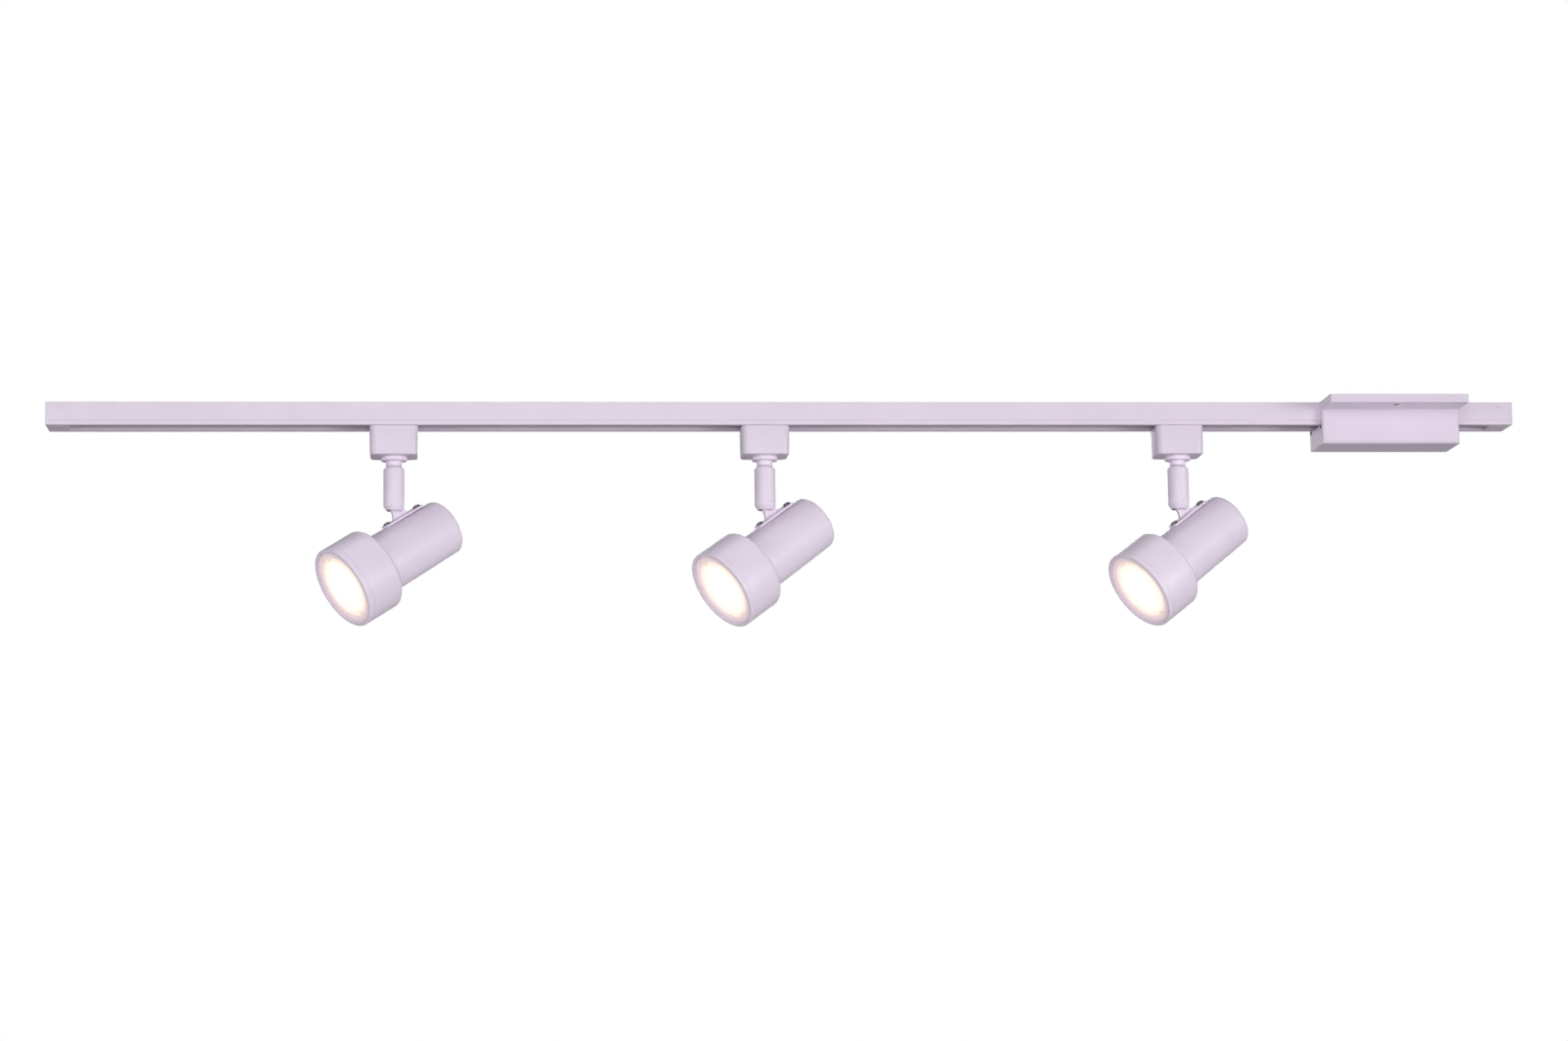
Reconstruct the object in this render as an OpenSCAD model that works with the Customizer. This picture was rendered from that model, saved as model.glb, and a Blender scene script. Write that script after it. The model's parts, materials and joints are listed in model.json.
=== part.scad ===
// Straight track lighting fixture: a ceiling track with a square power-feed
// canopy and three lamp heads that slide, turn and tilt.
//
// The origin is the middle of the track's top face, which lies on the ceiling.
// +X runs along the track, +Y to the rear of it and +Z up.
//
// A stem's parts are drawn about its pan axis. A lamp's parts are drawn level
// and aimed along -X, with the tilt axis through their own origin, and "depth"
// in them is the distance behind the front rim.

/* [Track] */
// Overall length over both end caps
track_len = 1219.2; // [1000:0.1:2440]
// Height from the lips up to the ceiling
track_h = 19.0; // [17:0.1:24]
// Thickness of the side walls, the top web and the lips
track_wall = 1.6; // [1.2:0.1:2.4]
// Width of the slot between the two lips
slot_w = 22.0; // [18:0.1:28]
// Width of the chamber for one insulating strip, on each side of the slot
chamber_w = 4.85; // [4:0.05:7]
// Thickness of the insulating strips
strip_t = 3.8; // [3.4:0.1:4]
// Thickness of each copper bar
bus = 2.0; // [1.5:0.1:2]
// Distance between the two ceiling screws' holes in the top web
track_hole_gap = 812.8; // [400:0.1:900]
// Radius of each ceiling screw's hole in the top web
track_hole_r = 2.8; // [2:0.1:4]

/* [End caps] */
// Thickness of the plate that closes the track's end
cap_t = 2.4; // [1.5:0.1:4]
// Length of the tongue that fills the slot
cap_tongue = 15.0; // [8:0.5:25]
// Distance from the end of the track to the cap's screw
cap_screw_x = 10.6; // [6:0.1:14]
// Radius of the cap's screw
cap_screw_r = 1.2; // [1:0.1:1.5]

/* [Canopy] */
// Size of the ceiling plate along the track
canopy_l = 117.0; // [100:0.5:140]
// Size of the ceiling plate across the track
canopy_d = 113.0; // [100:0.5:140]
// Height of the ceiling plate's edge
canopy_edge_h = 7.0; // [4:0.5:12]
// Height from the underside of the box up to the ceiling
canopy_h = 36.0; // [32:0.5:50]
// Thickness of the canopy's walls
canopy_wall = 2.0; // [1.2:0.1:3]
// Radius of the box's lower edges
canopy_r = 4.0; // [3:0.5:8]
// Radius of the box's upright edges
box_r = 3.0; // [2.5:0.5:6]
// Radius of the ceiling plate's corners
corner_r = 1.5; // [0.5:0.5:6]
// Room beside the track, inside the box, for the leads
lead_room = 4.8; // [4:0.1:8]
// Radius of the round reliefs in the notch's lower corners
relief_r = 3.0; // [1:0.1:4]
// Distance from the track's end to the plate's nearer edge
canopy_end = 47.6; // [40:0.5:80]
// Radius of each canopy screw's hole
canopy_hole_r = 2.4; // [2:0.1:3]
// Radius of the boss around each canopy screw
boss_r = 4.2; // [3.5:0.1:5]
// Distance from the track's centre line to each canopy screw
canopy_hole_y = 44.45; // [40:0.05:50]
// Length of the power feed's block along the track
feed_l = 44.0; // [40:0.5:60]

/* [Track adapter] */
// Size along the track
adapter_l = 39.8; // [34:0.1:60]
// Size across the track
adapter_w = 33.0; // [28:0.1:34]
// Height of the box under the track
adapter_h = 24.0; // [20:0.1:32]
// Radius of the box's upright corners
adapter_r = 6.0; // [4:0.1:10]
// Thickness of the box's walls
adapter_wall = 2.4; // [1.6:0.1:3]
// Length of the turret that stands up in the slot
turret_l = 26.0; // [20:0.5:30]

/* [Stem] */
// Radius of the stem
stem_r = 8.7; // [7.5:0.1:11]
// Thickness of the stem's wall around the lamp's ear
stem_wall = 2.7; // [2:0.1:3]
// Height from the shoulder to the lower end
stem_h = 36.5; // [30:0.1:80]
// Radius of the shank that turns in the collar
shank_r = 4.0; // [3:0.1:5]
// Radius of the bore for the wires to the lamp
wire_r = 1.8; // [1.5:0.1:2]
// Radius of the collar under the adapter
collar_r = 10.8; // [9:0.1:14]
// Height of the collar's disc
collar_h = 3.7; // [2:0.1:6]
// Height of the neck between the disc and the stem
neck_h = 4.2; // [3:0.1:8]
// Radius of the rivet on which the lamp tilts
pivot_r = 2.0; // [1.5:0.1:2.5]
// Height of the rivet above the stem's lower end
pivot_up = 5.0; // [4:0.1:8]

/* [Lamp] */
// Length from the front rim to the closed back
lamp_len = 111.0; // [90:0.5:150]
// Outer radius of the front cup
cup_r = 35.0; // [29:0.1:45]
// Length of the front cup
cup_len = 36.0; // [30:0.5:50]
// Outer radius of the barrel where it leaves the cup
barrel_front_r = 24.7; // [23:0.1:30]
// Outer radius of the barrel at its back
barrel_back_r = 23.4; // [22:0.1:30]
// Thickness of the barrel's and the cup's walls
lamp_wall = 1.6; // [1:0.1:3]
// Thickness of the front cup's wall
cup_wall = 2.0; // [1.2:0.1:3]
// Outside radius of the front cup's shoulder
shoulder_r = 4.0; // [3:0.5:6]
// Radius of the lamp's lit face
bulb_r = 25.0; // [20:0.1:26]
// Length of the lamp from its lit face to the ends of its pins
bulb_len = 54.0; // [40:0.5:60]
// Radius of the lampholder
holder_r = 14.0; // [12:0.1:16]
// Length of the lampholder
holder_len = 20.0; // [15:0.5:25]

/* [Bracket] */
// Depth of the tilt axis behind the lamp's front rim
pivot_depth = 77.7; // [70:0.1:100]
// Depth of the plate's nearer end behind the lamp's front rim
plate_from = 59.9; // [50:0.1:80]
// Length of the bracket's plate
plate_len = 38.9; // [34:0.1:50]
// Width of the bracket's plate
plate_w = 12.0; // [8:0.1:16]
// Thickness of the bracket's plate
plate_t = 1.6; // [1:0.1:3]
// Thickness of the upright ear
ear_t = 3.0; // [2:0.1:4]
// Width of the ear where it rises from the plate
ear_foot_w = 15.6; // [12:0.1:20]
// Radius of the bracket screws' shanks
screw_r = 1.5; // [1.2:0.1:2]
// Radius of the bracket screws' heads
screw_head_r = 3.3; // [2.5:0.1:4]
// Height of the bracket screws' heads
screw_head_h = 1.7; // [1:0.1:2.5]

/* [Pose] */
// Each stem's distance from the canopy's end of the track
head_in = [937.0, 630.9, 283.5]; // [185:0.1:975]
// Each head's turn about its stem, from pointing along the track to the left
head_pan = [28.3, 25.5, 20.5]; // [-175:0.5:175]
// Each lamp's dip below level
head_tilt = [31.3, 34.6, 35.8]; // [0:0.5:90]

/* [Fits] */
// Gap around a part that turns or tilts on another
run_gap = 0.05; // [0.02:0.01:0.1]
// Gap beside a part that slides or passes another
slide_gap = 0.2; // [0.15:0.05:0.6]
// Gap between the track and the canopy's notch
notch_gap = 0.5; // [0.2:0.1:1]

/* [Hidden] */
$fn = 64;

// Track section
slot_y = slot_w/2;
in_y = slot_y + chamber_w;
half_w = in_y + track_wall;
track_w = 2*half_w;
return_h = 1.6;
return_t = 1.2;
return_top = -track_h + track_wall + return_h;
groove_d = 0.9;
groove_up = 2.8;
groove_h = 1.0;

// Insulating strips and copper inside the track
strip_in = 6.0;
strip_z = [-track_h + strip_in, -strip_in];
strip_back = 1.1;
rib_h = 0.8;
rib_d = 1.0;
bus_z = -track_h/2;
bus_y = in_y - strip_back - bus;
cap_gap = 1.0;
copper_end = cap_t + cap_tongue + cap_gap;
earth_y = [3.2, 9.2];
earth_t = 0.8;
earth_z = -track_wall - earth_t;
track_hole_x = track_hole_gap/2;

// End caps
cap_screw_z = -3.8;
cap_screw_l = 12.0;
cap_head_r = 1.8;
cap_head_h = 0.8;
plug_y = in_y - rib_d - slide_gap;
plug_z = [return_top + slide_gap, -track_wall];

// Adapter
adapter_top = -track_h - slide_gap;
adapter_floor = adapter_top - adapter_h;
foot_h = 1.0;
foot_in = 0.8;
turret_y = slot_y - 0.5;
turret_top = earth_z - 1.0;
flange_t = 2.4;
seat_w = 1.0;
seat_gap = 0.1;
latch_in = 3.0;
latch_z = return_top + slide_gap;
latch_t = 1.4;
latch_y = in_y - strip_t - 0.3;
blade_t = 1.0;
blade_w = 6.0;
blade_root = 6.0;
blade_gap = 0.3;
blade_y = bus_y - blade_gap;
earth_blade_y = earth_y[0] + 1.0;
earth_blade_h = 4.0;

// Stem and collar
spigot_r = shank_r + 2;
spigot_h = adapter_wall + 3;
spigot_lip_r = spigot_r + 2;
neck_r = shank_r + 2.6;
neck_z = adapter_floor - collar_h - neck_h;
stem_top = neck_z - 0.3;
stem_end = stem_top - stem_h;
shoulder_w = stem_r - neck_r + 0.3;
stem_foot_w = 2.3;
stem_foot_h = 3.6;
pivot_z = stem_end + pivot_up;
stem_bore_r = stem_r - stem_wall;
rivet_head_r = shank_r + 2.4;
rivet_head_h = 2.0;
rivet_edge = 0.6;
rivet_z = adapter_floor + spigot_h + slide_gap;
pin_edge = 0.4;
pin_out = 0.2;
ear_side = 0.5;
ear_r = stem_bore_r - 0.6;
boss_y = stem_bore_r - 1.6;
ear_boss_r = pivot_r + 1.4;
stem_bore_up = ear_r + 2.4;

// Lamp, measured from the front rim and from its own axis
plate_low = barrel_r_at(plate_from) + 0.05;
pivot_rise = plate_low + plate_t + stem_r + screw_head_h + 0.8;
ear_foot_z = plate_low + plate_t/2 - pivot_rise;
flare_z = -pivot_up - 0.8;
flare_slope = (ear_foot_w/2 - ear_r)/(flare_z - ear_foot_z);
slot_up = ear_r + ear_side + max(0, flare_slope*(stem_r + flare_z));
cup_in_r = cup_r - cup_wall;
shoulder_in_r = cup_r - shoulder_r;
rim_r = cup_in_r - 1.0;
rim_t = 3.0;
rim_edge = 1.2;
line_depth = [4.4, 5.0];
line_d = 0.4;
flange_depth = [cup_len - 4, cup_len - cup_wall];
barrel_flange_r = (barrel_front_r + shoulder_in_r)/2;
barrel_end_r = 3.5;
barrel_in_r = barrel_front_r - lamp_wall;
lens_depth = 2.0;
lens_t = 2.2;
lens_edge = 0.8;
lens_back = lens_depth + lens_t;
ring_r = bulb_r + 0.4;
ring_lip_r = rim_r - 0.5;
ring_out_r = cup_in_r - run_gap;
ring_t = 1.4;
bulb_wall = 1.5;
bulb_neck_r = holder_r + 1;
pin_r = 1.5;
pin_head_r = 2.4;
pin_len = 7.0;
pin_gap = 10.0;
pin_fit = 0.3;
body_end = lens_depth + bulb_len - pin_len;
holder_end = body_end + holder_len;
holder_edge = 0.6;
strap_t = 1.2;
strap_drop = 8.0;
strap_top = sqrt(pow(barrel_back_r - lamp_wall, 2) - pow(plate_w/2, 2)) - 0.1;
plate_r = 2.5;
screw_in = 3.6;
screw_fit = 0.15;
shank_len = plate_low + plate_t - strap_top + strap_t + 0.6;
recess_l = 3.8;
recess_w = 0.7;
recess_d = 0.9;

// Canopy and power feed
canopy_x = track_len/2 - canopy_end - canopy_l/2;
box_d = track_w + 2*lead_room + 2*canopy_wall;
notch_y = half_w + notch_gap;
notch_z = -track_h - notch_gap;
feed_floor = -canopy_h + canopy_wall;
feed_h = adapter_top - feed_floor;
feed_side = 4.0;
feed_y = adapter_w/2;
term_r = 1.3;
term_l = 8.0;
term_head_r = 2.6;
term_head_h = 1.5;
term_z = feed_floor + 0.75*feed_h;
lead_r = 1.2;
lead_x = 13;
lead_y = half_w + lead_room/2;
lead_z = feed_floor + feed_h/3;
lead_push = 6;
lead_hole_l = lead_push + 2;
tray_z = -canopy_edge_h + canopy_wall + lead_r + slide_gap;

// Heads
head_x = [for (d = head_in) track_len/2 - d];

// ---------------------------------------------------------------- helpers

// The barrel's outer radius at a depth behind the front rim
function barrel_r_at(depth) = barrel_front_r
    - (barrel_front_r - barrel_back_r)*(depth - cup_len)/(lamp_len - cup_len);

// Extrudes a section drawn in Y and Z along the track
module along_track(x0, x1) {
    translate([x0, 0, 0])
        rotate([90, 0, 90])
            linear_extrude(x1 - x0)
                children();
}

// A rectangle from one corner to the other
module rect(p, q) {
    translate(p)
        square(q - p);
}

// A rectangle about the origin with round corners
module round_rect(l, w, r) {
    square([l - 2*r, w], center = true);
    square([l, w - 2*r], center = true);
    for (sx = [-1, 1], sy = [-1, 1])
        translate([sx*(l/2 - r), sy*(w/2 - r)])
            circle(r);
}

// A box between two corners
module block(p, q) {
    translate(p)
        cube(q - p);
}

// Both sides of a section, mirrored about the track's centre line
module both_sides() {
    children();
    mirror([1, 0])
        children();
}

// Places a part of one head on the track without turning it
module on_track(n) {
    translate([head_x[n], 0, 0])
        children();
}

// Places a part of one lamp head on its pan axis
module on_stem(n) {
    on_track(n)
        rotate([0, 0, head_pan[n]])
            children();
}

// Places a part of one lamp about its tilt axis
module on_pivot(n) {
    on_stem(n)
        translate([0, 0, pivot_z])
            rotate([0, -head_tilt[n], 0])
                children();
}

// Turns an outline of radius and depth about the lamp's own axis
module lamp_turned() {
    translate([-pivot_depth, 0, -pivot_rise])
        rotate([0, 90, 0])
            rotate_extrude($fn = 96)
                children();
}

// A round tube along a list of points, closed at both ends
module tube(points, r, sides = 10) {
    last = len(points) - 1;
    ways = [for (i = [0:last])
        unit(points[min(i + 1, last)] - points[max(i - 1, 0)])];
    rings = [for (i = [0:last])
        let (side = unit(cross(ways[i], [0.31, 0.17, 0.93])),
             up = cross(side, ways[i]))
        [for (k = [0:sides - 1])
            points[i] + r*(cos(360*k/sides)*side + sin(360*k/sides)*up)]];
    polyhedron(
        points = [for (ring = rings) each ring],
        faces = concat(
            [[for (k = [0:sides - 1]) k]],
            [for (i = [0:last - 1], k = [0:sides - 1])
                [i*sides + k, (i + 1)*sides + k,
                 (i + 1)*sides + (k + 1) % sides, i*sides + (k + 1) % sides]],
            [[for (k = [sides - 1:-1:0]) last*sides + k]]));
}

// A direction of length one
function unit(v) = v/norm(v);

// A screw along +Z with its shank below the origin and a driver slot in its head
module slotted_screw(r, l, head_r, head_h) {
    slot = 0.14*head_r;
    difference() {
        union() {
            translate([0, 0, -l])
                cylinder(r = r, h = l + 0.1, $fn = 32);
            cylinder(r = head_r, h = head_h, $fn = 32);
        }
        block([-head_r - 1, -slot, head_h/2], [head_r + 1, slot, head_h + 1]);
    }
}

// A smooth curve through a list of points, in steps of equal parameter
function smooth(p, steps = 3) = concat(
    [for (i = [0:len(p) - 2], s = [0:steps - 1])
        let (t = s/steps,
             a = p[max(i - 1, 0)], b = p[i],
             c = p[i + 1], d = p[min(i + 2, len(p) - 1)])
        0.5*((2*b) + (c - a)*t + (2*a - 5*b + 4*c - d)*t*t
            + (3*b - a - 3*c + d)*t*t*t)],
    [p[len(p) - 1]]);

// ------------------------------------------------------------------ track

// The extruded channel's section
module channel_section() {
    difference() {
        rect([-half_w, -track_h], [half_w, 0]);
        rect([-in_y, -track_h + track_wall], [in_y, -track_wall]);
        rect([-slot_y, -track_h - 1], [slot_y, -track_h + track_wall + 1]);
        both_sides()
            rect([half_w - groove_d, -track_h + groove_up],
                 [half_w + 1, -track_h + groove_up + groove_h]);
    }
    both_sides() {
        rect([slot_y, -track_h], [slot_y + return_t, return_top]);
        rect([in_y - rib_d, strip_z[1]], [in_y, strip_z[1] + rib_h]);
        rect([in_y - rib_d, strip_z[0] - rib_h], [in_y, strip_z[0]]);
    }
}

module track_channel() {
    color("whitesmoke")
        difference() {
            along_track(-track_len/2 + cap_t, track_len/2 - cap_t)
                channel_section();
            for (s = [-1, 1])
                translate([s*track_hole_x, 0, -track_wall - 1])
                    cylinder(r = track_hole_r, h = track_wall + 2);
            for (s = [-1, 1])
                translate([s*(track_len/2 - cap_screw_x), -in_y + 1, cap_screw_z])
                    rotate([90, 0, 0])
                        cylinder(r = cap_screw_r, h = track_wall + 2);
        }
}

module track_insulators() {
    color("silver")
        for (s = [0, 1])
            mirror([0, s, 0])
                along_track(-track_len/2 + copper_end, track_len/2 - copper_end)
                    difference() {
                        rect([in_y - strip_t, strip_z[0]], [in_y, strip_z[1]]);
                        rect([in_y - strip_t - 1, bus_z - bus/2],
                             [bus_y + bus, bus_z + bus/2]);
                    }
}

module bus_bars() {
    color("peru")
        for (s = [0, 1])
            mirror([0, s, 0])
                along_track(-track_len/2 + copper_end, track_len/2 - copper_end)
                    rect([bus_y, bus_z - bus/2], [bus_y + bus, bus_z + bus/2]);
}

module ground_bar() {
    color("peru")
        block([-track_len/2 + copper_end, earth_y[0], earth_z],
              [track_len/2 - copper_end, earth_y[1], -track_wall]);
}

// --------------------------------------------------------------- end caps

// One end's cap: side is -1 at the left and 1 at the right
module end_cap(side) {
    color("whitesmoke")
        translate([side*track_len/2, 0, 0])
            mirror([side > 0 ? 1 : 0, 0, 0])
                difference() {
                    union() {
                        along_track(0, cap_t)
                            rect([-half_w, -track_h], [half_w, 0]);
                        along_track(cap_t, cap_t + cap_tongue) {
                            rect([-slot_y, -track_h], [slot_y, plug_z[0] + 0.1]);
                            rect([-plug_y, plug_z[0]], [plug_y, plug_z[1]]);
                        }
                    }
                    translate([cap_screw_x, 0, cap_screw_z])
                        rotate([90, 0, 0])
                            cylinder(r = cap_screw_r, h = half_w);
                }
}

module end_cap_left() {
    end_cap(-1);
}

module end_cap_right() {
    end_cap(1);
}

module end_cap_screws() {
    color("whitesmoke")
        for (s = [-1, 1])
            translate([s*(track_len/2 - cap_screw_x), -half_w, cap_screw_z])
                rotate([90, 0, 0])
                    slotted_screw(cap_screw_r, cap_screw_l, cap_head_r, cap_head_h);
}

// ----------------------------------------------------------------- canopy

// The canopy's outside, or with an inset its inside, which is open at the top
module canopy_form(inset) {
    open = inset > 0 ? 1 : 0;
    translate([canopy_x, 0, -canopy_edge_h + inset])
        linear_extrude(canopy_edge_h - inset + open)
            round_rect(canopy_l - 2*inset, canopy_d - 2*inset, corner_r);
    intersection() {
        along_track(canopy_x - canopy_l/2 + inset, canopy_x + canopy_l/2 - inset) {
            rect([-box_d/2 + inset, -canopy_h + canopy_r], [box_d/2 - inset, 0]);
            rect([-box_d/2 + canopy_r, -canopy_h + inset], [box_d/2 - canopy_r, 0]);
            for (s = [-1, 1])
                translate([s*(box_d/2 - canopy_r), -canopy_h + canopy_r])
                    circle(canopy_r - inset);
        }
        translate([canopy_x, 0, -canopy_h])
            linear_extrude(canopy_h)
                round_rect(canopy_l - 2*inset, box_d - 2*inset, box_r - inset);
    }
}

module canopy_cover() {
    color("whitesmoke")
        difference() {
            union() {
                difference() {
                    canopy_form(0);
                    canopy_form(canopy_wall);
                }
                for (s = [-1, 1])
                    translate([canopy_x, s*canopy_hole_y, -canopy_edge_h + 0.1])
                        cylinder(r = boss_r, h = canopy_edge_h - 0.1);
            }
            along_track(canopy_x - canopy_l/2 - 1, canopy_x + canopy_l/2 + 1) {
                rect([-notch_y, notch_z], [notch_y, 1]);
                for (s = [-1, 1])
                    translate([s*notch_y, notch_z])
                        circle(relief_r, $fn = 32);
            }
            for (s = [-1, 1])
                translate([canopy_x, s*canopy_hole_y, -canopy_edge_h - 1])
                    cylinder(r = canopy_hole_r, h = canopy_edge_h + 2);
        }
}

// The part of an adapter or feed block that stands up in the slot
module turret(l) {
    block([-l/2, -turret_y, adapter_top - 0.1], [l/2, turret_y, turret_top]);
    block([-l/2 + latch_in, -latch_y, latch_z], [l/2 - latch_in, latch_y, latch_z + latch_t]);
}

// The three spring blades of an adapter or feed block
module blades() {
    for (s = [0, 1])
        mirror([0, s, 0])
            block([-blade_w/2, turret_y - blade_root, bus_z - blade_t/2],
                  [blade_w/2, blade_y, bus_z + blade_t/2]);
    block([-blade_w/2, earth_blade_y, turret_top - earth_blade_h],
          [blade_w/2, earth_blade_y + blade_t, earth_z - slide_gap]);
}

// Places something that points forwards at each of the feed's three terminals
module terminals(y, z) {
    for (x = [-lead_x, 0, lead_x])
        translate([canopy_x + x, y, z])
            rotate([90, 0, 0])
                children();
}

module feed_block() {
    color("dimgray")
        difference() {
            translate([canopy_x, 0, 0]) {
                turret(feed_l - 2*feed_side);
                block([-feed_l/2, -feed_y, feed_floor], [feed_l/2, feed_y, adapter_top]);
            }
            translate([canopy_x, 0, 0])
                blades();
            terminals(-feed_y + lead_hole_l, lead_z)
                cylinder(r = lead_r + slide_gap, h = lead_hole_l + 1);
            terminals(-feed_y + term_l, term_z)
                cylinder(r = term_r, h = term_l + 1);
        }
}

module feed_contacts() {
    color("goldenrod")
        translate([canopy_x, 0, 0])
            blades();
}

module feed_screws() {
    color("silver")
        terminals(-feed_y, term_z)
            slotted_screw(term_r, term_l, term_head_r, term_head_h);
}

// One lead from its hole in the feed block up beside the track and into the
// ceiling plate, where it turns aside through the points in reach
module feed_lead(x, way, reach) {
    rise = [
        [x, -feed_y + lead_push, lead_z],
        [x, -feed_y, lead_z],
        [x, -lead_y + 0.4, lead_z + 1.4],
        [x, -lead_y, lead_z + 5],
        [x, -lead_y, lead_z + 14],
        [x, -lead_y - 0.6, tray_z - 1.4]];
    lie = [for (p = reach) [x + way*p[0], -lead_y - p[1], tray_z]];
    translate([canopy_x, 0, 0])
        tube(smooth(concat(rise, lie)), lead_r);
}

// Points of a lead's lie in the plate: along the track and out from the box
side_reach = [[2, 4], [7, 10], [16, 13], [27, 12]];
front_reach = [[0, 4], [0, 11]];

module feed_lead_live() {
    color("black")
        feed_lead(-lead_x, -1, side_reach);
}

module feed_lead_neutral() {
    color("white")
        feed_lead(lead_x, 1, side_reach);
}

// The earth lead stops short of the canopy screw's boss
module feed_lead_ground() {
    color("green")
        feed_lead(0, 1, front_reach);
}

// ---------------------------------------------------------------- adapter

// The adapter's plan drawn in by an inset
module adapter_plan(inset) {
    round_rect(adapter_l - 2*inset, adapter_w - 2*inset, adapter_r - inset);
}

module adapter_case(n) {
    color("whitesmoke")
        on_track(n)
            difference() {
                union() {
                    translate([0, 0, adapter_floor + foot_h])
                        linear_extrude(adapter_h - foot_h)
                            adapter_plan(0);
                    translate([0, 0, adapter_floor])
                        linear_extrude(foot_h + 0.01)
                            adapter_plan(foot_in);
                }
                translate([0, 0, adapter_floor + adapter_wall])
                    linear_extrude(adapter_h)
                        adapter_plan(adapter_wall);
                translate([0, 0, adapter_top - flange_t])
                    linear_extrude(flange_t + 1)
                        adapter_plan(adapter_wall - seat_w);
                translate([0, 0, adapter_floor - 1])
                    cylinder(r = spigot_r + run_gap, h = adapter_wall + 2);
            }
}

module adapter_turret(n) {
    color("dimgray")
        on_track(n)
            difference() {
                union() {
                    turret(turret_l);
                    translate([0, 0, adapter_top - flange_t])
                        linear_extrude(flange_t)
                            adapter_plan(adapter_wall - seat_w + seat_gap);
                }
                blades();
            }
}

module adapter_contacts(n) {
    color("goldenrod")
        on_track(n)
            blades();
}

// ------------------------------------------------------- collar and stem

module swivel_collar(n) {
    color("whitesmoke")
        on_track(n)
            difference() {
                union() {
                    translate([0, 0, adapter_floor - collar_h])
                        cylinder(r = collar_r, h = collar_h);
                    translate([0, 0, neck_z])
                        cylinder(r = neck_r, h = neck_h + 0.1);
                    translate([0, 0, adapter_floor - 0.1])
                        cylinder(r = spigot_r, h = spigot_h + 0.1);
                    translate([0, 0, adapter_floor + adapter_wall])
                        cylinder(r = spigot_lip_r, h = spigot_h - adapter_wall);
                }
                translate([0, 0, neck_z - 1])
                    cylinder(r = shank_r + run_gap, h = spigot_h + collar_h + neck_h + 2);
            }
}

module stem(n) {
    color("whitesmoke")
        on_stem(n)
            difference() {
                rotate_extrude()
                    polygon([
                        [0, stem_end], [stem_r - stem_foot_w, stem_end],
                        [stem_r, stem_end + stem_foot_h],
                        [stem_r, stem_top - shoulder_w], [neck_r - 0.3, stem_top],
                        [shank_r, stem_top], [shank_r, rivet_z],
                        [rivet_head_r, rivet_z],
                        [rivet_head_r, rivet_z + rivet_head_h - rivet_edge],
                        [rivet_head_r - rivet_edge, rivet_z + rivet_head_h],
                        [0, rivet_z + rivet_head_h]]);
                translate([0, 0, stem_end - 1])
                    cylinder(r = wire_r, h = rivet_z + rivet_head_h - stem_end + 2);
                translate([0, 0, stem_end - 1])
                    cylinder(r = stem_bore_r, h = pivot_up + stem_bore_up + 1);
                block([0, -ear_t/2 - ear_side, stem_end - 1],
                      [stem_r + 1, ear_t/2 + ear_side, pivot_z + slot_up]);
                translate([0, 0, pivot_z])
                    rotate([90, 0, 0])
                        cylinder(r = pivot_r, h = 2*stem_r + 4, center = true);
            }
}

module pivot_pin(n) {
    color("whitesmoke")
        on_stem(n)
            translate([0, 0, pivot_z])
                rotate([90, 0, 0])
                    rotate_extrude()
                        polygon([
                            [0, -stem_r - pin_out], [pivot_r - pin_edge, -stem_r - pin_out],
                            [pivot_r, -stem_r - pin_out + pin_edge],
                            [pivot_r, stem_r + pin_out - pin_edge],
                            [pivot_r - pin_edge, stem_r + pin_out], [0, stem_r + pin_out]]);
}

// ------------------------------------------------------------------- lamp

// Places something at a depth behind the rim and a height above the lamp's axis
module at_depth(depth, rise) {
    translate([depth - pivot_depth, 0, rise - pivot_rise])
        children();
}

// Shank holes or shanks of the two bracket screws
module screw_places() {
    for (d = [plate_from + screw_in, plate_from + plate_len - screw_in])
        at_depth(d, plate_low + plate_t)
            children();
}

// The ear's outline: straight beside the rivet and flared down to the plate
module ear_outline() {
    polygon([
        [-ear_r, 0], [-ear_r, flare_z], [-ear_foot_w/2, ear_foot_z],
        [ear_foot_w/2, ear_foot_z], [ear_r, flare_z], [ear_r, 0]]);
    circle(ear_r);
}

module tilt_bracket(n) {
    color("whitesmoke")
        on_pivot(n)
            difference() {
                union() {
                    at_depth(plate_from + plate_len/2, plate_low)
                        linear_extrude(plate_t)
                            round_rect(plate_len, plate_w, plate_r);
                    rotate([90, 0, 0]) {
                        translate([0, 0, -ear_t/2])
                            linear_extrude(ear_t)
                                ear_outline();
                        cylinder(r = ear_boss_r, h = 2*boss_y, center = true);
                    }
                }
                rotate([90, 0, 0])
                    cylinder(r = pivot_r + run_gap, h = 2*boss_y + 2, center = true);
                screw_places()
                    translate([0, 0, -plate_t - 1])
                        cylinder(r = screw_r + screw_fit, h = plate_t + 2, $fn = 32);
            }
}

module bracket_screws(n) {
    color("dimgray")
        on_pivot(n)
            screw_places()
                difference() {
                    union() {
                        rotate_extrude($fn = 32)
                            polygon([[0, 0], [screw_head_r, 0],
                                     [screw_head_r, 0.5*screw_head_h],
                                     [0.7*screw_head_r, screw_head_h], [0, screw_head_h]]);
                        translate([0, 0, -shank_len])
                            cylinder(r = screw_r, h = shank_len + 0.1, $fn = 32);
                    }
                    for (a = [45, 135])
                        rotate([0, 0, a])
                            translate([-recess_l/2, -recess_w/2, screw_head_h - recess_d])
                                cube([recess_l, recess_w, recess_d + 1]);
                }
}

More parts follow.
